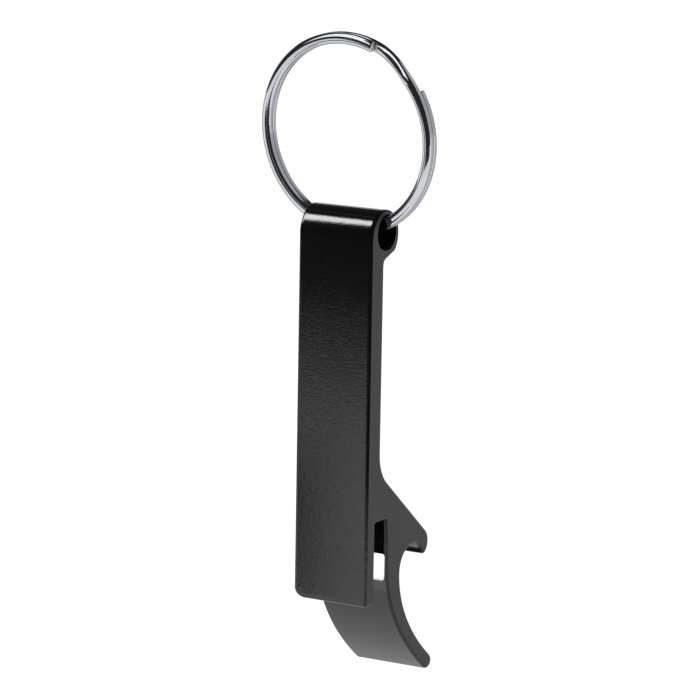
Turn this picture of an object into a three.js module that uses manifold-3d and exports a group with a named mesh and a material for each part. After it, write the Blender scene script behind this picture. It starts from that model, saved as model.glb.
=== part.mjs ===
// Keychain bottle opener: a length of aluminium extrusion, sawn to width, hanging on a steel split ring.
// Millimetres, +Z up. +X runs along the extrusion, the opener's plain front faces -Y, and its hook points to +Y.
// The origin is the inside top of the split ring, where a hook or a bunch of keys carries it.
import * as THREE from "three";
import { mergeVertices } from "three/addons/utils/BufferGeometryUtils.js";
import Module from "manifold-3d";

// Driving dimensions of the opener. Its profile is drawn as (y, z) from the axis of the ring hole.
const WIDTH = 10.2;
const FRONT_Y = -3.7;
const BAR_THICKNESS = 3.2;
const HOLE_RADIUS = 2.15;
const EYELET = { y: -0.4, z: -0.55, r: 3.3 };
const EYELET_HEEL = { y: 2.05, z: -2.65 };
const EYELET_HEEL_ROUND = 0.2;
const EYELET_TOE_ANGLE = 19.4;
const EYELET_TOE_RADIUS = 0.8;
const PLATE_END_Z = -45.9;
const PLATE_END_ROUND = 0.65;
const PLATE_LEFT_CORNER_RADIUS = 1.3;
const SLOT = { frontY: -1.5, backY: 1.05, topZ: -35.75 };
const HOOK_SLOPE_ANGLE = 51.5;
const HOOK_SLOPE_POINT = { y: 9.98, z: -37.92 };
const HOOK_ROOT_RADIUS = 4.9;
const NOTCH = { y: 7.95, z: -43.25, r: 3.0 };
const NOTCH_END_ANGLE = 29.5;
const NOSE_TIP_RADIUS = 0.5;
const NOSE_RADIUS = 1.9;
const NECK_FOOT = { y: 1.5, z: -42 };
const BLADE_TIP = { y: 12.4, z: -56.15, r: 0.98 };
const BLADE_TIP_ANGLE = 52.3;
const BLADE_FRONT_PULLS = [1.72, -47.38, 5.79, -52.44];
const BLADE_BACK_PULLS = [7.6, -51.25, 4.95, -47.1];
const EDGE_ROUND = 0.2;

// A window through the neck, behind the slot. It is wide towards the slot and narrows towards the hook,
// and its floor and ceiling fall towards the hook.
const WINDOW = { halfWidth: 5.1, backHalfWidth: 2.0, height: 3.4, round: 0.4, centreZ: -41.75 };
const WINDOW_START_Y = 0.9;
const WINDOW_LENGTH = 5.2;
const WINDOW_FALL = 0.225;

// Driving dimensions of the split ring. Angles run anticlockwise from +X, seen from the front.
const RING_OUTER_RADIUS = 12.4;
const WIRE = { radial: 1.38, axial: 0.72, roundness: 3.0 };
const COIL_GAP = 0.04;
const RING_START_ANGLE = 69.3;
const RING_CROSSING = { from: 397, to: 427 };
const RING_END_ANGLE = 750.5;
const RING_TURN_IN_HOLE = -4.4;
const RING_LEAN = 4.9;
const RING_CENTRE_ABOVE_HOLE = 11.6;

const ARC_SEGMENTS = 14;
const LEAST_STEP = 0.15;
const EDGE_SEGMENTS = 2;
const WIRE_SIDES = 12;
const RING_STEPS = 150;

const wasm = await Module();
wasm.setup();

const radians = THREE.MathUtils.degToRad;

// A closed mesh's geometry as a solid that can be cut, and back again.
function toSolid(geometry) {
  const bare = geometry.clone();
  bare.deleteAttribute("normal");
  bare.deleteAttribute("uv");
  const merged = mergeVertices(bare, 1e-4);
  return new wasm.Manifold(new wasm.Mesh({
    numProp: 3,
    vertProperties: new Float32Array(merged.attributes.position.array),
    triVerts: new Uint32Array(merged.index.array),
  }));
}

function toGeometry(solid) {
  const mesh = solid.getMesh();
  const geometry = new THREE.BufferGeometry();
  geometry.setAttribute("position", new THREE.BufferAttribute(mesh.vertProperties, 3));
  geometry.setIndex(new THREE.BufferAttribute(mesh.triVerts, 1));
  geometry.computeVertexNormals();
  return geometry;
}

// The same outline as plain points, each at least LEAST_STEP from the one before it.
function cleanOutline(outline) {
  const spaced = (points) => points.reduce((kept, point) => {
    const far = (other) => point.distanceTo(other) > LEAST_STEP;
    return kept.length === 0 || (far(kept[kept.length - 1]) && far(kept[0])) ? [...kept, point] : kept;
  }, []);
  const { shape, holes } = outline.extractPoints(ARC_SEGMENTS);
  const clean = new THREE.Shape(spaced(shape));
  clean.holes = holes.map((hole) => new THREE.Path(spaced(hole)));
  return clean;
}

// Adds an arc about a centre to an outline; it turns clockwise when the angle falls.
function arc(outline, centre, radius, from, to) {
  outline.absarc(centre.y, centre.z, radius, radians(from), radians(to), from > to);
}

// The centre of an arc that touches a straight face at `wallY` and the hook's slope.
function hookRootCentre(wallY) {
  const [ny, nz] = [Math.cos(radians(HOOK_SLOPE_ANGLE)), Math.sin(radians(HOOK_SLOPE_ANGLE))];
  const y = wallY + HOOK_ROOT_RADIUS;
  return { y, z: HOOK_SLOPE_POINT.z + (HOOK_ROOT_RADIUS - ny * (y - HOOK_SLOPE_POINT.y)) / nz };
}

// The nose of the hook: a small round at its tip that runs on into the larger round of its back.
function noseArcs() {
  const [ny, nz] = [Math.cos(radians(HOOK_SLOPE_ANGLE)), Math.sin(radians(HOOK_SLOPE_ANGLE))];
  const end = radians(NOTCH_END_ANGLE);
  const tip = {
    y: NOTCH.y + (NOTCH.r + NOSE_TIP_RADIUS) * Math.cos(end),
    z: NOTCH.z + (NOTCH.r + NOSE_TIP_RADIUS) * Math.sin(end),
  };
  const step = NOSE_RADIUS - NOSE_TIP_RADIUS;
  const gap = ny * (tip.y - HOOK_SLOPE_POINT.y) + nz * (tip.z - HOOK_SLOPE_POINT.z) + NOSE_RADIUS;
  const joinAngle = HOOK_SLOPE_ANGLE - THREE.MathUtils.radToDeg(Math.acos(gap / step));
  const join = radians(joinAngle);
  return { tip, joinAngle, back: { y: tip.y - step * Math.cos(join), z: tip.z - step * Math.sin(join) } };
}

function openerOutline() {
  const outline = new THREE.Shape();
  const backY = FRONT_Y + BAR_THICKNESS;
  const plateRoundZ = PLATE_END_Z + PLATE_END_ROUND;

  // Down the front, round the end of the plate and up into the slot.
  outline.moveTo(FRONT_Y, EYELET.z);
  arc(outline, { y: FRONT_Y + PLATE_END_ROUND, z: plateRoundZ }, PLATE_END_ROUND, 180, 270);
  arc(outline, { y: SLOT.frontY - PLATE_END_ROUND, z: plateRoundZ }, PLATE_END_ROUND, 270, 360);
  outline.lineTo(SLOT.frontY, SLOT.topZ);
  outline.lineTo(SLOT.backY, SLOT.topZ);

  // Down the neck and the front of the blade, round its tip and back up to the notch.
  outline.lineTo(NECK_FOOT.y, NECK_FOOT.z);
  const tipFront = radians(BLADE_TIP_ANGLE + 180);
  outline.bezierCurveTo(...BLADE_FRONT_PULLS,
    BLADE_TIP.y + BLADE_TIP.r * Math.cos(tipFront), BLADE_TIP.z + BLADE_TIP.r * Math.sin(tipFront));
  arc(outline, BLADE_TIP, BLADE_TIP.r, BLADE_TIP_ANGLE + 180, BLADE_TIP_ANGLE + 360);
  outline.bezierCurveTo(...BLADE_BACK_PULLS, NOTCH.y - NOTCH.r, NOTCH.z);

  // Round the notch that takes the cap, round the nose and up the hook's slope to the bar.
  const nose = noseArcs();
  arc(outline, NOTCH, NOTCH.r, 180, NOTCH_END_ANGLE);
  arc(outline, nose.tip, NOSE_TIP_RADIUS, NOTCH_END_ANGLE + 180, nose.joinAngle + 360);
  arc(outline, nose.back, NOSE_RADIUS, nose.joinAngle, HOOK_SLOPE_ANGLE);
  arc(outline, hookRootCentre(backY), HOOK_ROOT_RADIUS, HOOK_SLOPE_ANGLE + 180, 180);

  // Up the back of the bar, out along the underside of the eyelet and over its top.
  const toe = radians(EYELET_TOE_ANGLE);
  const toeY = backY + EYELET_TOE_RADIUS;
  const toeZ = EYELET_HEEL.z - (EYELET_HEEL.y - toeY) * Math.tan(toe) - EYELET_TOE_RADIUS / Math.cos(toe);
  arc(outline, { y: toeY, z: toeZ }, EYELET_TOE_RADIUS, 180, 90 + EYELET_TOE_ANGLE);
  const heelRise = EYELET_HEEL.z + EYELET_HEEL_ROUND - EYELET.z;
  const heelAngle = THREE.MathUtils.radToDeg(Math.asin(heelRise / EYELET.r));
  outline.lineTo(EYELET_HEEL.y, EYELET_HEEL.z);
  arc(outline, EYELET, EYELET.r, heelAngle, 180);

  const hole = new THREE.Path();
  hole.absarc(0, 0, HOLE_RADIUS, 0, 2 * Math.PI, false);
  outline.holes.push(hole);
  return outline;
}

// The profile runs along X: the outline's own axes (y, z, depth) become the part's (y, z, x).
function openerSolid() {
  const geometry = new THREE.ExtrudeGeometry(cleanOutline(openerOutline()), {
    depth: WIDTH - 2 * EDGE_ROUND,
    bevelThickness: EDGE_ROUND,
    bevelSize: EDGE_ROUND,
    bevelOffset: -EDGE_ROUND,
    bevelSegments: EDGE_SEGMENTS,
  });
  geometry.translate(0, 0, EDGE_ROUND - WIDTH / 2);
  geometry.applyMatrix4(new THREE.Matrix4().makeBasis(
    new THREE.Vector3(0, 1, 0), new THREE.Vector3(0, 0, 1), new THREE.Vector3(1, 0, 0)));
  return toSolid(geometry);
}

// What the rounding of the plate's lower left corner takes away, cut right through the plate's thickness.
function leftCornerSolid() {
  const radius = PLATE_LEFT_CORNER_RADIUS;
  const [x, z] = [-WIDTH / 2, PLATE_END_Z];
  const outline = new THREE.Shape();
  outline.moveTo(x - radius, z + radius);
  outline.absarc(x + radius, z + radius, radius, Math.PI, 1.5 * Math.PI);
  outline.lineTo(x + radius, z - radius);
  outline.lineTo(x - radius, z - radius);
  const geometry = new THREE.ExtrudeGeometry(outline,
    { depth: 2 * BAR_THICKNESS, bevelEnabled: false, curveSegments: ARC_SEGMENTS });
  geometry.applyMatrix4(new THREE.Matrix4().makeBasis(
    new THREE.Vector3(1, 0, 0), new THREE.Vector3(0, 0, 1), new THREE.Vector3(0, -1, 0)));
  geometry.translate(0, (SLOT.frontY + SLOT.backY) / 2, 0);
  return toSolid(geometry);
}

function windowSolid() {
  const [w, h, r] = [WINDOW.halfWidth, WINDOW.height / 2, WINDOW.round];
  const outline = new THREE.Shape();
  outline.absarc(w - r, h - r, r, 0, Math.PI / 2);
  outline.absarc(r - w, h - r, r, Math.PI / 2, Math.PI);
  outline.absarc(r - w, r - h, r, Math.PI, 1.5 * Math.PI);
  outline.absarc(w - r, r - h, r, 1.5 * Math.PI, 2 * Math.PI);
  const geometry = new THREE.ExtrudeGeometry(outline,
    { depth: WINDOW_LENGTH, bevelEnabled: false, curveSegments: 4 });
  const position = geometry.attributes.position;
  for (let i = 0; i < position.count; i += 1) {
    const along = position.getZ(i);
    const width = THREE.MathUtils.lerp(1, WINDOW.backHalfWidth / w, along / WINDOW_LENGTH);
    const x = -position.getX(i) * width;
    position.setXYZ(i, x, WINDOW_START_Y + along, position.getY(i) + WINDOW.centreZ - along * WINDOW_FALL);
  }
  return toSolid(geometry);
}

// The centre line of the ring's wire: round the front coil, across to the back coil, and round that.
class RingWire extends THREE.Curve {
  getPoint(t, target = new THREE.Vector3()) {
    const angle = THREE.MathUtils.lerp(RING_START_ANGLE, RING_END_ANGLE, t);
    const across = THREE.MathUtils.smoothstep(angle, RING_CROSSING.from, RING_CROSSING.to);
    const layer = (WIRE.axial + COIL_GAP) * (across - 0.5);
    const radius = RING_OUTER_RADIUS - WIRE.radial / 2;
    return target.set(radius * Math.cos(radians(angle)), layer, radius * Math.sin(radians(angle)));
  }
}

// The wire's section: a rounded rectangle, its first axis across the ring's plane.
function wireSection() {
  const section = new THREE.Shape();
  const power = 2 / WIRE.roundness;
  const corner = (value) => Math.sign(value) * Math.abs(value) ** power;
  for (let i = 0; i < WIRE_SIDES; i += 1) {
    const angle = (2 * Math.PI * (i + 0.5)) / WIRE_SIDES;
    const point = [corner(Math.cos(angle)) * WIRE.axial / 2, corner(Math.sin(angle)) * WIRE.radial / 2];
    if (i === 0) section.moveTo(...point);
    else section.lineTo(...point);
  }
  section.closePath();
  return section;
}

const blackAluminium = new THREE.MeshStandardMaterial({ color: 0x1d1d1e, roughness: 0.35, metalness: 0.6 });
const nickelSteel = new THREE.MeshStandardMaterial({ color: 0xc9cacd, roughness: 0.15, metalness: 1 });

const bottleOpener = new THREE.Group();

// The ring leans forward in the ring hole: its top is further to the front than the hole's axis.
const lean = radians(RING_LEAN);
const ringInnerRadius = RING_OUTER_RADIUS - WIRE.radial;
const ring = new THREE.Mesh(
  new THREE.ExtrudeGeometry(wireSection(), { steps: RING_STEPS, extrudePath: new RingWire(), curveSegments: 1 }),
  nickelSteel);
ring.name = "split_ring";
ring.position.set(0, ringInnerRadius * Math.sin(lean), -ringInnerRadius * Math.cos(lean));
ring.rotation.set(lean, 0, radians(RING_TURN_IN_HOLE));
bottleOpener.add(ring);

const openerCut = openerSolid().subtract(windowSolid()).subtract(leftCornerSolid());
const opener = new THREE.Mesh(toGeometry(openerCut), blackAluminium);
opener.name = "opener_body";
opener.position.set(0, (ringInnerRadius + RING_CENTRE_ABOVE_HOLE) * Math.sin(lean),
  -(ringInnerRadius + RING_CENTRE_ABOVE_HOLE) * Math.cos(lean));
bottleOpener.add(opener);

export default bottleOpener;
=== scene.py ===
# Keychain bottle opener: black coated aluminium extrusion on a nickel-plated steel split ring.
# Metres, +Z up. The opener's plain front faces -Y.
# Its profile is drawn in (y, z) from the axis of the ring hole.
import math

import bmesh
import bpy
import numpy as np
from mathutils import Matrix, Vector
from mathutils.geometry import tessellate_polygon


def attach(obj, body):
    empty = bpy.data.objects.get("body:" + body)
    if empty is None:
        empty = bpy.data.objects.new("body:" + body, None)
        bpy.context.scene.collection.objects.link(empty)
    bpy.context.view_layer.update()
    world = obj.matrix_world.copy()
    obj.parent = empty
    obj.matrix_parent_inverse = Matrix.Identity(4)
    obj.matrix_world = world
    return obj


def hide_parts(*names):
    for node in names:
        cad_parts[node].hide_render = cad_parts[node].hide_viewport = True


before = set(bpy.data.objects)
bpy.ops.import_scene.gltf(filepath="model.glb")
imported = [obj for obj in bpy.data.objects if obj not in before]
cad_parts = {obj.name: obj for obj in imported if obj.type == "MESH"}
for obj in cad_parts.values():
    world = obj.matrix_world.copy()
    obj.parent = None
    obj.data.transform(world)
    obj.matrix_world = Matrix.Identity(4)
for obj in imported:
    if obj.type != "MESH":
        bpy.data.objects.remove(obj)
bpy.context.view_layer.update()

MM = 0.001

# Driving sizes of the opener, in millimetres. They are the solid part's own.
WIDTH = 10.2
FRONT_Y = -3.7
BAR_BACK_Y = -0.5
HOLE_RADIUS = 2.15
EYELET = (-0.4, -0.55, 3.3)
EYELET_HEEL = (2.05, -2.65)
EYELET_HEEL_ROUND = 0.2
EYELET_TOE_ANGLE = 19.4
EYELET_TOE_RADIUS = 0.8
PLATE_END_Z = -45.9
PLATE_END_ROUND = 0.65
LEFT_CORNER_RADIUS = 1.3
SLOT_FRONT_Y, SLOT_BACK_Y, SLOT_TOP_Z = -1.5, 1.05, -35.75
SLOPE_ANGLE = 51.5
SLOPE_POINT = (9.98, -37.92)
ROOT_RADIUS = 4.9
NOTCH = (7.95, -43.25, 3.0)
NOTCH_END_ANGLE = 29.5
NOSE_TIP_RADIUS = 0.5
NOSE_RADIUS = 1.9
NECK_FOOT = (1.5, -42.0)
BLADE_TIP = (12.4, -56.15, 0.98)
BLADE_TIP_ANGLE = 52.3
BLADE_FRONT_PULLS = ((1.72, -47.38), (5.79, -52.44))
BLADE_BACK_PULLS = ((7.6, -51.25), (4.95, -47.1))
WINDOW_HALF_WIDTH, WINDOW_BACK_HALF_WIDTH = 5.1, 2.0
WINDOW_HEIGHT, WINDOW_ROUND, WINDOW_CENTRE_Z = 3.4, 0.4, -41.75
WINDOW_START_Y, WINDOW_LENGTH, WINDOW_FALL = 0.9, 5.2, 0.225

# Driving sizes of the split ring, in millimetres and degrees anticlockwise from +X seen from the front.
RING_OUTER_RADIUS = 12.4
WIRE_RADIAL, WIRE_AXIAL, WIRE_ROUNDNESS = 1.38, 0.72, 3.0
COIL_GAP = 0.04
RING_START, RING_END = 69.3, 750.5
CROSSING = (397.0, 427.0)
RING_TURN, RING_LEAN = -4.4, 4.9
RING_CENTRE_ABOVE_HOLE = 11.6

# Sizes that only the look has, in millimetres. The shares are the most of a thin wall that a rounding takes.
EDGE_ROUND = 0.42
EDGE_STEPS = 8
OUTER_EDGE_SHARE, HOLE_EDGE_SHARE = 0.34, 0.15
INNER_CORNER_ROUND = 0.15
CAP_MARGIN = 0.03
CORNER_REACH = 2.2 * LEFT_CORNER_RADIUS
MIDDLE_GAP = 0.02

# Linear colours.
COAT_DARK, COAT_LIGHT = (0.0018, 0.0018, 0.0021, 1), (0.0028, 0.0028, 0.0032, 1)
COAT_DUST = (0.0075, 0.0075, 0.0080, 1)
# Painted light: a lighter grey-black for the blade that stands in for the floor's light reflected on it.
BLADE_PAINTED_FLOOR_LIGHT = (0.0245, 0.0245, 0.0255, 1)
SAWN_DARK, SAWN_LIGHT = (0.0305, 0.0295, 0.0305, 1), (0.0355, 0.0345, 0.0355, 1)
NICKEL_DARK, NICKEL_LIGHT = (0.355, 0.365, 0.385, 1), (0.375, 0.385, 0.405, 1)
STUDIO_WHITE = (0.975, 0.985, 1.0, 1)

# Gloss of the surfaces.
COAT_ROUGHNESS = (0.090, 0.115)
SAWN_ROUGHNESS = 0.62
NICKEL_ROUGHNESS = (0.045, 0.060)
COAT_SPECULAR, SAWN_SPECULAR = 0.5, 0.3
EDGE_SPECULAR_TOP, EDGE_SPECULAR_FOOT = 0.03, 0.36
EDGE_SPECULAR_TOP_Z, EDGE_SPECULAR_FOOT_Z = -0.050, -0.066
BLADE_EDGE_SHARE = 0.4
PIT_SPECULAR_SHARE = 0.4
COAT_IOR = 1.5
PEEL_DEPTH = 0.0070
SAWN_BUMP = 0.3

# The studio, in metres. A radiance of 1 is the display's white.
WORLD_RADIANCE = 0.85
SURROUND_RADIUS, SURROUND_RADIANCE = 12.0, 1.1
BLACK_CARD_GLOW, WHITE_CARD_GLOW, FLOOR_GLOW = 0.028, 1.67, 0.55
FLOOR_Z, FLOOR_HALF_WIDTH = -0.6, 14
CEILING_Z = 0.5
FRONT_FLAG_Y, SMALL_FLAG_Y, FRONT_CARD_Y = -0.4, -0.147, -0.45
KEY_DISTANCE, KEY_WIDTH, KEY_HEIGHT, KEY_RADIANCE = 0.42, 0.15, 0.235, 15.5
RING_LIGHT_DISTANCE, RING_LIGHT_WIDTH, RING_LIGHT_HEIGHT, RING_LIGHT_RADIANCE = 0.3, 0.09, 0.372, 2.3

# The camera. Its aim is in millimetres from the hole's axis, and its distance in metres.
AZIMUTH, ELEVATION, ROLL = math.radians(30), math.radians(11), math.radians(1.0)
CAMERA_AIM = (1.548, -2.348, -14.447)
CAMERA_DISTANCE = 0.4695
LENS, SENSOR = 200, 36

LEAN = math.radians(RING_LEAN)
RING_INNER_RADIUS = RING_OUTER_RADIUS - WIRE_RADIAL
HOLE_BELOW_ORIGIN = RING_INNER_RADIUS + RING_CENTRE_ABOVE_HOLE
HOLE_AXIS = Vector((0.0, HOLE_BELOW_ORIGIN * math.sin(LEAN), -HOLE_BELOW_ORIGIN * math.cos(LEAN))) * MM

# Where the front face lies and where the blade begins, in metres.
FRONT_FACE_Y = HOLE_AXIS.y + FRONT_Y * MM
BLADE_Y = HOLE_AXIS.y + SLOT_BACK_Y * MM
BLADE_Z = HOLE_AXIS.z + NECK_FOOT[1] * MM


# ---------------------------------------------------------------- the opener's profile
def arc(centre, radius, start, end, step=6.0):
    """Points round an arc in degrees, both ends included; it turns clockwise when the angle falls."""
    count = max(2, int(abs(end - start) / step) + 1)
    return [(centre[0] + radius * math.cos(math.radians(a)), centre[1] + radius * math.sin(math.radians(a)))
            for a in np.linspace(start, end, count)]


def bezier(p0, p1, p2, p3, count=36):
    t = np.linspace(0, 1, count)[:, None]
    p0, p1, p2, p3 = (np.array(p, float) for p in (p0, p1, p2, p3))
    curve = p0 * (1 - t) ** 3 + 3 * p1 * t * (1 - t) ** 2 + 3 * p2 * t ** 2 * (1 - t) + p3 * t ** 3
    return [tuple(p) for p in curve]


def outer_outline():
    slope = (math.cos(math.radians(SLOPE_ANGLE)), math.sin(math.radians(SLOPE_ANGLE)))
    points = [(FRONT_Y, z) for z in np.linspace(EYELET[1], PLATE_END_Z + PLATE_END_ROUND, 40)]
    round_z = PLATE_END_Z + PLATE_END_ROUND
    points += arc((FRONT_Y + PLATE_END_ROUND, round_z), PLATE_END_ROUND, 180, 270)[1:]
    points += arc((SLOT_FRONT_Y - PLATE_END_ROUND, round_z), PLATE_END_ROUND, 270, 360)
    points += [(SLOT_FRONT_Y, z) for z in np.linspace(round_z, SLOT_TOP_Z, 10)[1:]]
    points += [(SLOT_BACK_Y, SLOT_TOP_Z), NECK_FOOT]

    turned = math.radians(BLADE_TIP_ANGLE + 180)
    tip_start = (BLADE_TIP[0] + BLADE_TIP[2] * math.cos(turned),
                 BLADE_TIP[1] + BLADE_TIP[2] * math.sin(turned))
    points += bezier(NECK_FOOT, *BLADE_FRONT_PULLS, tip_start)[1:]
    tip_arc = arc(BLADE_TIP[:2], BLADE_TIP[2], BLADE_TIP_ANGLE + 180, BLADE_TIP_ANGLE + 360)
    points += tip_arc[1:]
    points += bezier(tip_arc[-1], *BLADE_BACK_PULLS, (NOTCH[0] - NOTCH[2], NOTCH[1]))[1:]

    # The nose: the notch's arc, a small round at the tip, and the larger round of the hook's back.
    end = math.radians(NOTCH_END_ANGLE)
    reach = NOTCH[2] + NOSE_TIP_RADIUS
    tip = (NOTCH[0] + reach * math.cos(end), NOTCH[1] + reach * math.sin(end))
    step = NOSE_RADIUS - NOSE_TIP_RADIUS
    gap = slope[0] * (tip[0] - SLOPE_POINT[0]) + slope[1] * (tip[1] - SLOPE_POINT[1]) + NOSE_RADIUS
    join = SLOPE_ANGLE - math.degrees(math.acos(gap / step))
    back = (tip[0] - step * math.cos(math.radians(join)), tip[1] - step * math.sin(math.radians(join)))
    points += arc(NOTCH[:2], NOTCH[2], 180, NOTCH_END_ANGLE, 4.0)[1:]
    points += arc(tip, NOSE_TIP_RADIUS, NOTCH_END_ANGLE + 180, join + 360, 9.0)[1:]
    points += arc(back, NOSE_RADIUS, join, SLOPE_ANGLE)[1:]

    root_y = BAR_BACK_Y + ROOT_RADIUS
    root_z = SLOPE_POINT[1] + (ROOT_RADIUS - slope[0] * (root_y - SLOPE_POINT[0])) / slope[1]
    points += arc((root_y, root_z), ROOT_RADIUS, SLOPE_ANGLE + 180, 180, 4.0)

    toe = math.radians(EYELET_TOE_ANGLE)
    toe_y = BAR_BACK_Y + EYELET_TOE_RADIUS
    toe_z = EYELET_HEEL[1] - (EYELET_HEEL[0] - toe_y) * math.tan(toe) - EYELET_TOE_RADIUS / math.cos(toe)
    points += arc((toe_y, toe_z), EYELET_TOE_RADIUS, 180, 90 + EYELET_TOE_ANGLE)
    heel = math.degrees(math.asin((EYELET_HEEL[1] + EYELET_HEEL_ROUND - EYELET[1]) / EYELET[2]))
    points += [EYELET_HEEL] + arc(EYELET[:2], EYELET[2], heel, 180, 5.0)[:-1]
    return points


def rounded_corners(points, radius, least_turn=25.0):
    """The closed outline with each sharp corner replaced by a small arc."""
    points = [np.array(p, float) for p in points]
    result = []
    for i, here in enumerate(points):
        before, after = points[i - 1], points[(i + 1) % len(points)]
        u, v = before - here, after - here
        lu, lv = np.linalg.norm(u), np.linalg.norm(v)
        u, v = u / lu, v / lv
        turn = 180 - math.degrees(math.acos(max(-1.0, min(1.0, float(u @ v)))))
        if turn < least_turn:
            result.append(here)
            continue
        half = math.radians(180 - turn) / 2
        reach = min(radius / math.tan(half), 0.45 * lu, 0.45 * lv)
        r = reach * math.tan(half)
        middle = u + v
        centre = here + middle / np.linalg.norm(middle) * r / math.sin(half)
        a, b = here + u * reach - centre, here + v * reach - centre
        for t in np.linspace(0, 1, 7):
            w = a * (1 - t) + b * t
            result.append(centre + w / np.linalg.norm(w) * r)
    return np.array(result)


def outward_normals(points, outward):
    """Unit normals of a closed outline, and how far each point moves per unit of inset."""
    edge = np.roll(points, -1, axis=0) - points
    edge /= np.linalg.norm(edge, axis=1)[:, None]
    side = np.stack([edge[:, 1], -edge[:, 0]], axis=1)
    mean = side + np.roll(side, 1, axis=0)
    mean /= np.linalg.norm(mean, axis=1)[:, None]
    stretch = 1 / np.maximum(0.5, (mean * side).sum(axis=1))
    area = (points[:, 0] * np.roll(points[:, 1], -1) - np.roll(points[:, 0], -1) * points[:, 1]).sum()
    sign = 1.0 if (area > 0) == outward else -1.0
    return mean * sign, stretch


# ---------------------------------------------------------------- the opener's mesh
def corner_rise(x):
    """How far the rounding of the plate's lower left corner lifts the plate's end at this x."""
    past = np.clip(-WIDTH / 2 + LEFT_CORNER_RADIUS - x, 0, LEFT_CORNER_RADIUS)
    return LEFT_CORNER_RADIUS - math.sqrt(LEFT_CORNER_RADIUS ** 2 - past ** 2)


def with_corner(points, x):
    """The outline with the plate's end lifted by the rounded corner."""
    moved = points.copy()
    plate = points[:, 0] < SLOT_FRONT_Y + 0.01
    near = np.clip((PLATE_END_Z + CORNER_REACH - points[:, 1]) / CORNER_REACH, 0, 1) * plate
    moved[:, 1] += corner_rise(x) * near
    return moved


def opener_mesh():
    outer = rounded_corners(outer_outline(), INNER_CORNER_ROUND)
    hole = np.array(arc((0, 0), HOLE_RADIUS, 0, 360, 5.0)[:-1])
    loops = [(outer, True), (hole, False)]

    # The edge rounding is limited where the wall round the hole is thin.
    between = np.linalg.norm(outer[:, None, :] - hole[None, :, :], axis=2)
    limits = [between.min(axis=1), between.min(axis=0)]

    half = WIDTH / 2
    steps = np.linspace(0, math.pi / 2, EDGE_STEPS)
    middle_x = [half - EDGE_ROUND - MIDDLE_GAP, 2.0, -2.0, -half + LEFT_CORNER_RADIUS]
    middle_x += [-half + LEFT_CORNER_RADIUS * (1 - math.sin(a)) for a in np.linspace(0.2, 0.72, 5)]
    middle_x = [x for x in middle_x if x > -half + EDGE_ROUND + MIDDLE_GAP]

    verts, faces, caps = [], [], []
    for (points, outward), limit, share in zip(loops, limits, (OUTER_EDGE_SHARE, HOLE_EDGE_SHARE)):
        normal, stretch = outward_normals(points, outward)
        rounding = np.minimum(EDGE_ROUND, share * limit)
        rows = []

        def row(x_of, inset):
            shifted = points - normal * (inset * stretch)[:, None]
            ids = []
            for p, x in zip(shifted, x_of):
                q = with_corner(np.array([p]), x)[0] if outward else p
                ids.append(len(verts))
                verts.append((x, q[0], q[1]))
            rows.append(ids)

        ones = np.ones(len(points))
        row(ones * half, rounding + CAP_MARGIN)
        for a in steps[::-1]:
            row(half - rounding * (1 - math.sin(a)), rounding * (1 - math.cos(a)))
        for x in middle_x:
            row(ones * x, ones * 0)
        for a in steps:
            row(-half + rounding * (1 - math.sin(a)), rounding * (1 - math.cos(a)))
        row(-ones * half, rounding + CAP_MARGIN)
        n = len(points)
        for r0, r1 in zip(rows, rows[1:]):
            faces += [(r0[i], r0[(i + 1) % n], r1[(i + 1) % n], r1[i]) for i in range(n)]
        caps.append((rows[0], rows[-1]))

    for which in (0, 1):
        rings = [[Vector((verts[i][1], verts[i][2], 0)) for i in c[which]] for c in caps]
        index = [i for c in caps for i in c[which]]
        faces += [tuple(index[k] for k in t) for t in tessellate_polygon(rings)]

    mesh = bpy.data.meshes.new("opener_body_visual")
    mesh.from_pydata([(Vector(v) * MM + HOLE_AXIS)[:] for v in verts], [], faces)
    return mesh


def window_cutter():
    """The window's shape: wide towards the slot, narrow towards the hook, and falling towards the hook."""
    w, h, r = WINDOW_HALF_WIDTH, WINDOW_HEIGHT / 2, WINDOW_ROUND
    ring = []
    for cx, cz, start in ((w - r, h - r, 0), (r - w, h - r, 90), (r - w, r - h, 180), (w - r, r - h, 270)):
        ring += arc((cx, cz), r, start, start + 90, 15.0)
    verts = []
    for along in (0.0, WINDOW_LENGTH):
        scale = 1 + (WINDOW_BACK_HALF_WIDTH / w - 1) * along / WINDOW_LENGTH
        verts += [Vector((x * scale, WINDOW_START_Y + along, z + WINDOW_CENTRE_Z - along * WINDOW_FALL)) * MM
                  + HOLE_AXIS for x, z in ring]
    n = len(ring)
    faces = [(i, (i + 1) % n, n + (i + 1) % n, n + i) for i in range(n)]
    faces += [tuple(range(n))[::-1], tuple(range(n, 2 * n))]
    mesh = bpy.data.meshes.new("window_cutter")
    mesh.from_pydata([v[:] for v in verts], [], faces)
    return mesh


def tidy_normals(mesh):
    bm = bmesh.new()
    bm.from_mesh(mesh)
    bmesh.ops.recalc_face_normals(bm, faces=bm.faces)
    bm.to_mesh(mesh)
    bm.free()


def split_polygons(mesh):
    """Splits the many-sided faces into triangles, and drops pairs of them that lie back to back."""
    bm = bmesh.new()
    bm.from_mesh(mesh)
    bmesh.ops.triangulate(bm, faces=[f for f in bm.faces if len(f.verts) > 4])
    bm.verts.index_update()
    places = {}
    for face in bm.faces:
        places.setdefault(tuple(sorted(v.index for v in face.verts)), []).append(face)
    paired = [face for faces in places.values() if len(faces) > 1 for face in faces]
    bmesh.ops.delete(bm, geom=paired, context="FACES")
    bm.to_mesh(mesh)
    bm.free()


def new_object(name, mesh):
    item = bpy.data.objects.new(name, mesh)
    bpy.context.scene.collection.objects.link(item)
    return item


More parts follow.
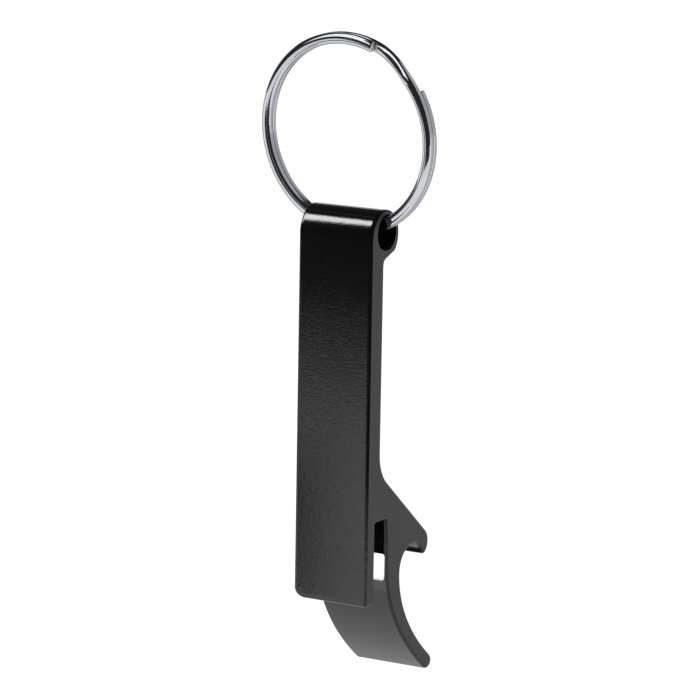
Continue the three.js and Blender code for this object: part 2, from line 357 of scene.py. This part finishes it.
def build_opener():
    mesh = opener_mesh()
    tidy_normals(mesh)
    cutter_mesh = window_cutter()
    tidy_normals(cutter_mesh)
    body = new_object("opener_body_visual", mesh)
    cutter = new_object("window_cutter", cutter_mesh)
    cut = body.modifiers.new("window", "BOOLEAN")
    cut.operation = "DIFFERENCE"
    cut.solver = "EXACT"
    cut.object = cutter
    bpy.context.view_layer.update()
    shown = body.evaluated_get(bpy.context.evaluated_depsgraph_get())
    finished = bpy.data.meshes.new_from_object(shown)
    body.modifiers.clear()
    body.data = finished
    bpy.data.objects.remove(cutter)
    finished.name = "opener_body_visual"
    split_polygons(finished)
    finished.polygons.foreach_set("use_smooth", [True] * len(finished.polygons))
    finished.set_sharp_from_angle(angle=math.radians(32))
    weighted = body.modifiers.new("weighted normals", "WEIGHTED_NORMAL")
    weighted.mode = "FACE_AREA"
    weighted.weight = 80
    weighted.keep_sharp = True
    return body


# ---------------------------------------------------------------- the split ring's mesh
def ring_mesh(steps=620, sides=64):
    def smoothstep(value, low, high):
        t = np.clip((value - low) / (high - low), 0, 1)
        return t * t * (3 - 2 * t)

    power = 2 / WIRE_ROUNDNESS
    around = (np.arange(sides) + 0.5) * 2 * math.pi / sides
    axial = np.sign(np.cos(around)) * np.abs(np.cos(around)) ** power * WIRE_AXIAL / 2
    radial = np.sign(np.sin(around)) * np.abs(np.sin(around)) ** power * WIRE_RADIAL / 2
    middle = RING_OUTER_RADIUS - WIRE_RADIAL / 2

    # (angle, scale of the section): the cut ends are eased over their last fraction of a millimetre.
    ease = [(0.0, 0.84), (0.04, 0.93), (0.10, 0.985), (0.20, 1.0)]
    to_degrees = math.degrees(1 / middle)
    stations = [(RING_START + e * to_degrees, s) for e, s in ease]
    eased = 0.4 * to_degrees
    stations += [(a, 1.0) for a in np.linspace(RING_START + eased, RING_END - eased, steps)]
    stations += [(RING_END - e * to_degrees, s) for e, s in reversed(ease)]

    turn = Matrix.Rotation(LEAN, 3, "X") @ Matrix.Rotation(math.radians(RING_TURN), 3, "Z")
    centre = Vector((0, RING_INNER_RADIUS * math.sin(LEAN), -RING_INNER_RADIUS * math.cos(LEAN)))
    verts = []
    for angle, scale in stations:
        c, s = math.cos(math.radians(angle)), math.sin(math.radians(angle))
        layer = (WIRE_AXIAL + COIL_GAP) * (float(smoothstep(angle, *CROSSING)) - 0.5)
        for a, r in zip(axial, radial):
            radius = middle + r * scale
            verts.append(((turn @ Vector((radius * c, layer + a * scale, radius * s)) + centre) * MM)[:])
    faces = []
    for k in range(len(stations) - 1):
        for i in range(sides):
            j = (i + 1) % sides
            faces.append((k * sides + i, k * sides + j, (k + 1) * sides + j, (k + 1) * sides + i))
    last = (len(stations) - 1) * sides
    faces += [tuple(range(sides))[::-1], tuple(last + i for i in range(sides))]
    mesh = bpy.data.meshes.new("split_ring_visual")
    mesh.from_pydata(verts, [], faces)
    return mesh


def build_ring():
    mesh = ring_mesh()
    tidy_normals(mesh)
    item = new_object("split_ring_visual", mesh)
    mesh.polygons.foreach_set("use_smooth", [True] * len(mesh.polygons))
    mesh.set_sharp_from_angle(angle=math.radians(50))
    return item


# ---------------------------------------------------------------- materials
def principled(name):
    material = bpy.data.materials.new(name)
    material.use_nodes = True
    tree = material.node_tree
    return material, tree.nodes, tree.links, tree.nodes["Principled BSDF"]


def noise(nodes, links, vector, scale, detail=3.0, roughness=0.5):
    node = nodes.new("ShaderNodeTexNoise")
    node.inputs["Scale"].default_value = scale
    node.inputs["Detail"].default_value = detail
    node.inputs["Roughness"].default_value = roughness
    links.new(vector, node.inputs["Vector"])
    return node.outputs["Fac"]


def stretched(nodes, links, vector, scale, offset=(0, 0, 0)):
    node = nodes.new("ShaderNodeMapping")
    node.inputs["Scale"].default_value = scale
    node.inputs["Location"].default_value = offset
    links.new(vector, node.inputs["Vector"])
    return node.outputs["Vector"]


def remap(nodes, links, value, low, high, out_low, out_high, smooth=True):
    node = nodes.new("ShaderNodeMapRange")
    node.interpolation_type = "SMOOTHSTEP" if smooth else "LINEAR"
    for socket, number in zip(("From Min", "From Max", "To Min", "To Max"), (low, high, out_low, out_high)):
        node.inputs[socket].default_value = number
    links.new(value, node.inputs["Value"])
    return node.outputs["Result"]


def calculate(nodes, links, operation, a, b):
    node = nodes.new("ShaderNodeMath")
    node.operation = operation
    for socket, value in zip(node.inputs, (a, b)):
        if isinstance(value, (int, float)):
            socket.default_value = value
        else:
            links.new(value, socket)
    return node.outputs[0]


def mix_colours(nodes, links, factor, a, b):
    node = nodes.new("ShaderNodeMix")
    node.data_type = "RGBA"
    links.new(factor, node.inputs["Factor"])
    for socket, value in ((node.inputs[6], a), (node.inputs[7], b)):
        if isinstance(value, tuple):
            socket.default_value = value
        else:
            links.new(value, socket)
    return node.outputs[2]


def black_coating():
    """Satin black with orange peel and pits on the extruded faces, with a lighter grey-black painted on the
    blade as the floor's reflected light; flat grey-black on the sawn faces.
    """
    material, nodes, links, shader = principled("opener_body_black")
    place = nodes.new("ShaderNodeTexCoord").outputs["Object"]
    split = nodes.new("ShaderNodeSeparateXYZ")
    links.new(place, split.inputs[0])
    across = calculate(nodes, links, "ABSOLUTE", split.outputs["X"], 0.0)
    half = WIDTH / 2 * MM
    sawn = remap(nodes, links, across, half - 0.020 * MM, half - 0.002 * MM, 0.0, 1.0)
    edge = remap(nodes, links, across, half - EDGE_ROUND * MM, half - 0.5 * EDGE_ROUND * MM, 0.0, 1.0)

    cloud = noise(nodes, links, place, 120.0, 3.0)
    coat_and_painted_light = mix_colours(nodes, links, remap(nodes, links, cloud, 0.35, 0.65, 0, 1),
                       COAT_DARK, COAT_LIGHT)
    dust = noise(nodes, links, place, 5200.0, 2.0, 0.5)
    coat_and_painted_light = mix_colours(nodes, links, remap(nodes, links, dust, 0.60, 0.76, 0, 1), coat_and_painted_light, COAT_DUST)
    # Painted light: below the neck and behind the slot the blade gets a lighter base colour that stands in
    # for the floor's light reflected on it.
    below_neck = remap(nodes, links, split.outputs["Z"], BLADE_Z, BLADE_Z - 1.5 * MM, 0.0, 1.0)
    behind_slot = remap(nodes, links, split.outputs["Y"], BLADE_Y - 0.2 * MM, BLADE_Y, 0.0, 1.0)
    blade = calculate(nodes, links, "MULTIPLY", below_neck, behind_slot)
    coat_and_painted_light = mix_colours(nodes, links, blade, coat_and_painted_light, BLADE_PAINTED_FLOOR_LIGHT)
    saw_marks = noise(nodes, links, stretched(nodes, links, place, (1.0, 1.0, 0.05)), 3200.0, 3.0, 0.6)
    bare = mix_colours(nodes, links, remap(nodes, links, saw_marks, 0.3, 0.7, 0, 1), SAWN_DARK, SAWN_LIGHT)
    links.new(mix_colours(nodes, links, sawn, coat_and_painted_light, bare), shader.inputs["Base Color"])

    # The rounded edges are duller than the faces, most of all at the top and on the blade.
    flat = remap(nodes, links, sawn, 0, 1, COAT_SPECULAR, SAWN_SPECULAR, smooth=False)
    down = remap(nodes, links, split.outputs["Z"], EDGE_SPECULAR_TOP_Z, EDGE_SPECULAR_FOOT_Z,
                 EDGE_SPECULAR_TOP, EDGE_SPECULAR_FOOT)
    on_blade = remap(nodes, links, blade, 0, 1, 1.0, BLADE_EDGE_SHARE)
    down = calculate(nodes, links, "MULTIPLY", down, on_blade)
    specular = nodes.new("ShaderNodeMix")
    links.new(calculate(nodes, links, "SUBTRACT", edge, sawn), specular.inputs["Factor"])
    links.new(flat, specular.inputs["A"])
    links.new(down, specular.inputs["B"])

    # Small dull pits here and there, closer together along the front face's edges.
    shifted = stretched(nodes, links, place, (0.6, 1.0, 1.0), (3.1, 0.4, 0.0))
    speck = noise(nodes, links, shifted, 1700.0, 1.0, 0.4)
    front = remap(nodes, links, split.outputs["Y"],
                  FRONT_FACE_Y + 0.3 * MM, FRONT_FACE_Y + 0.8 * MM, 1.0, 0.0)
    crowded = calculate(nodes, links, "MULTIPLY", edge, front)
    level = remap(nodes, links, crowded, 0.0, 1.0, 0.77, 0.60)
    pit = remap(nodes, links, calculate(nodes, links, "SUBTRACT", speck, level), 0.0, 0.03, 0.0, 1.0)
    pit = calculate(nodes, links, "MULTIPLY", pit, calculate(nodes, links, "SUBTRACT", 1.0, sawn))
    kept = remap(nodes, links, pit, 0, 1, 1.0, PIT_SPECULAR_SHARE)
    kept = calculate(nodes, links, "MULTIPLY", specular.outputs["Result"], kept)
    links.new(kept, shader.inputs["Specular IOR Level"])

    fine = noise(nodes, links, place, 4200.0, 3.0, 0.6)
    gloss = remap(nodes, links, fine, 0.3, 0.7, *COAT_ROUGHNESS)
    rough = nodes.new("ShaderNodeMix")
    links.new(sawn, rough.inputs["Factor"])
    links.new(gloss, rough.inputs["A"])
    rough.inputs["B"].default_value = SAWN_ROUGHNESS
    links.new(rough.outputs["Result"], shader.inputs["Roughness"])
    shader.inputs["IOR"].default_value = COAT_IOR

    peel = noise(nodes, links, stretched(nodes, links, place, (0.7, 1.0, 1.0)), 4200.0, 2.0, 0.55)
    grain = noise(nodes, links, place, 7000.0, 2.0, 0.5)
    height = calculate(nodes, links, "ADD", peel, calculate(nodes, links, "MULTIPLY", grain, 0.9))
    bump = nodes.new("ShaderNodeBump")
    bump.inputs["Distance"].default_value = PEEL_DEPTH * MM
    links.new(remap(nodes, links, sawn, 0, 1, 1.0, SAWN_BUMP, smooth=False), bump.inputs["Strength"])
    links.new(height, bump.inputs["Height"])
    links.new(bump.outputs["Normal"], shader.inputs["Normal"])
    return material


def bright_nickel():
    """Polished nickel plating, a little cloudy."""
    material, nodes, links, shader = principled("split_ring_nickel")
    place = nodes.new("ShaderNodeTexCoord").outputs["Object"]
    cloud = noise(nodes, links, place, 220.0, 3.0)
    shade = remap(nodes, links, cloud, 0.35, 0.65, 0, 1)
    links.new(mix_colours(nodes, links, shade, NICKEL_DARK, NICKEL_LIGHT), shader.inputs["Base Color"])
    shader.inputs["Metallic"].default_value = 1.0
    links.new(remap(nodes, links, cloud, 0.35, 0.65, *NICKEL_ROUGHNESS), shader.inputs["Roughness"])
    return material


def plain(name, colour, glow):
    """A matt material of one shade that glows a little."""
    material, nodes, links, shader = principled(name)
    place = nodes.new("ShaderNodeTexCoord").outputs["Object"]
    darker = tuple(0.985 * c for c in colour) + (1,)
    links.new(mix_colours(nodes, links, noise(nodes, links, place, 3.0), darker, tuple(colour) + (1,)),
              shader.inputs["Base Color"])
    shader.inputs["Roughness"].default_value = 0.9
    shader.inputs["Emission Color"].default_value = (1, 1, 1, 1)
    shader.inputs["Emission Strength"].default_value = glow
    return material


# ---------------------------------------------------------------- the object
opener = build_opener()
opener.data.materials.clear()
opener.data.materials.append(black_coating())
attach(opener, "opener")
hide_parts("opener_body")

ring = build_ring()
ring.data.materials.append(bright_nickel())
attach(ring, "ring")
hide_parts("split_ring")


# ---------------------------------------------------------------- studio
def plane(name, corners, material):
    mesh = bpy.data.meshes.new(name)
    mesh.from_pydata(corners, [], [(0, 1, 2, 3)])
    item = new_object(name, mesh)
    mesh.materials.append(material)
    return item


def softbox(name, place, target, width, height, radiance):
    data = bpy.data.lights.new(name, "AREA")
    data.shape = "RECTANGLE"
    data.size, data.size_y = width, height
    data.energy = radiance * math.pi * width * height
    item = new_object(name, data)
    item.location = place
    item.rotation_euler = (Vector(target) - Vector(place)).to_track_quat("-Z", "Y").to_euler()
    item.visible_camera = False
    return item


def dome(radius, strength):
    """The white background all round. Only the camera sees it; it lights nothing and nothing reflects it."""
    bm = bmesh.new()
    bmesh.ops.create_icosphere(bm, subdivisions=3, radius=radius)
    mesh = bpy.data.meshes.new("white_surround")
    bm.to_mesh(mesh)
    bm.free()
    item = new_object("white_surround", mesh)
    white = plain("white_surround", (0.0, 0.0, 0.0), strength)
    white.cycles.emission_sampling = "NONE"
    mesh.materials.append(white)
    item.visible_diffuse = item.visible_glossy = item.visible_shadow = False


scene = bpy.context.scene
world = bpy.data.worlds.new("studio")
world.use_nodes = True
world.node_tree.nodes["Background"].inputs["Color"].default_value = STUDIO_WHITE
world.node_tree.nodes["Background"].inputs["Strength"].default_value = WORLD_RADIANCE
scene.world = world
dome(SURROUND_RADIUS, SURROUND_RADIANCE)

black_card = plain("black_card", (0.004, 0.004, 0.004), BLACK_CARD_GLOW)
white_card = plain("white_card", (0.02, 0.02, 0.02), WHITE_CARD_GLOW)


def card(name, corners, material):
    """A card that the object reflects. The camera doesn't see it."""
    plane(name, corners, material).visible_camera = False


def upright_card(name, y, left, right, low, high, material):
    """An upright card that faces front, from left to right and from low to high."""
    card(name, [(left, y, low), (right, y, low), (right, y, high), (left, y, high)], material)


def level_card(name, z, left, right, front, back, material):
    """A level card, from left to right and from front to back."""
    card(name, [(left, front, z), (right, front, z), (right, back, z), (left, back, z)], material)


level_card("floor", FLOOR_Z, -FLOOR_HALF_WIDTH, FLOOR_HALF_WIDTH, -FLOOR_HALF_WIDTH, FLOOR_HALF_WIDTH,
           plain("pale_floor", (0.5, 0.5, 0.5), FLOOR_GLOW))
upright_card("front_flag", FRONT_FLAG_Y, -1.6, 0.12, -0.1350, 0.62, black_card)
upright_card("left_flag", SMALL_FLAG_Y, -0.152, -0.122, -0.081, -0.0625, black_card)
upright_card("corner_flag", SMALL_FLAG_Y, -0.12, -0.089, -0.118, -0.088, black_card)
upright_card("strip_flag_left", SMALL_FLAG_Y, -0.122, -0.112, -0.0635, -0.048, black_card)
upright_card("strip_flag", SMALL_FLAG_Y, -0.112, -0.005, -0.070, -0.048, black_card)
level_card("ceiling_flag", CEILING_Z, -1.4, 0.15, -0.5, 1.0, black_card)
upright_card("front_card", FRONT_CARD_Y, -0.9, 0.9, FLOOR_Z, -0.12, white_card)


def light_only(light, item):
    """The light falls on this item alone."""
    group = bpy.data.collections.new(light.name + "_receivers")
    group.objects.link(item)
    light.light_linking.receiver_collection = group


EYELET_TOP = HOLE_AXIS + Vector((0, -2 * MM, 2.5 * MM))
UP_LEFT = Vector((-0.626, -0.430, 0.651))
key = softbox("key_softbox", EYELET_TOP + UP_LEFT * KEY_DISTANCE, EYELET_TOP,
              KEY_WIDTH, KEY_HEIGHT, KEY_RADIANCE)
light_only(key, opener)
RING_TOP = Vector((0, 0, 0))
FRONT_LEFT = Vector((-0.558, -0.714, 0.423))
ring_light = softbox("ring_softbox", RING_TOP + FRONT_LEFT * RING_LIGHT_DISTANCE, RING_TOP,
                     RING_LIGHT_WIDTH, RING_LIGHT_HEIGHT, RING_LIGHT_RADIANCE)
light_only(ring_light, ring)

# ---------------------------------------------------------------- camera
toward = Vector((math.sin(AZIMUTH) * math.cos(ELEVATION), -math.cos(AZIMUTH) * math.cos(ELEVATION),
                 math.sin(ELEVATION)))
level = Vector((math.cos(AZIMUTH), math.sin(AZIMUTH), 0))
upright = toward.cross(level)
right = level * math.cos(ROLL) + upright * math.sin(ROLL)
up = upright * math.cos(ROLL) - level * math.sin(ROLL)
aim = HOLE_AXIS + Vector(CAMERA_AIM) * MM
place = aim + toward * CAMERA_DISTANCE
camera_data = bpy.data.cameras.new("camera")
camera_data.lens = LENS
camera_data.sensor_width = SENSOR
camera_data.clip_start, camera_data.clip_end = 0.01, 60
camera = new_object("camera", camera_data)
camera.matrix_world = Matrix((
    (right.x, up.x, toward.x, place.x),
    (right.y, up.y, toward.y, place.y),
    (right.z, up.z, toward.z, place.z),
    (0, 0, 0, 1)))
scene.camera = camera

scene.view_settings.view_transform = "Standard"
scene.view_settings.look = "None"
scene.view_settings.exposure = 0
scene.view_settings.gamma = 1
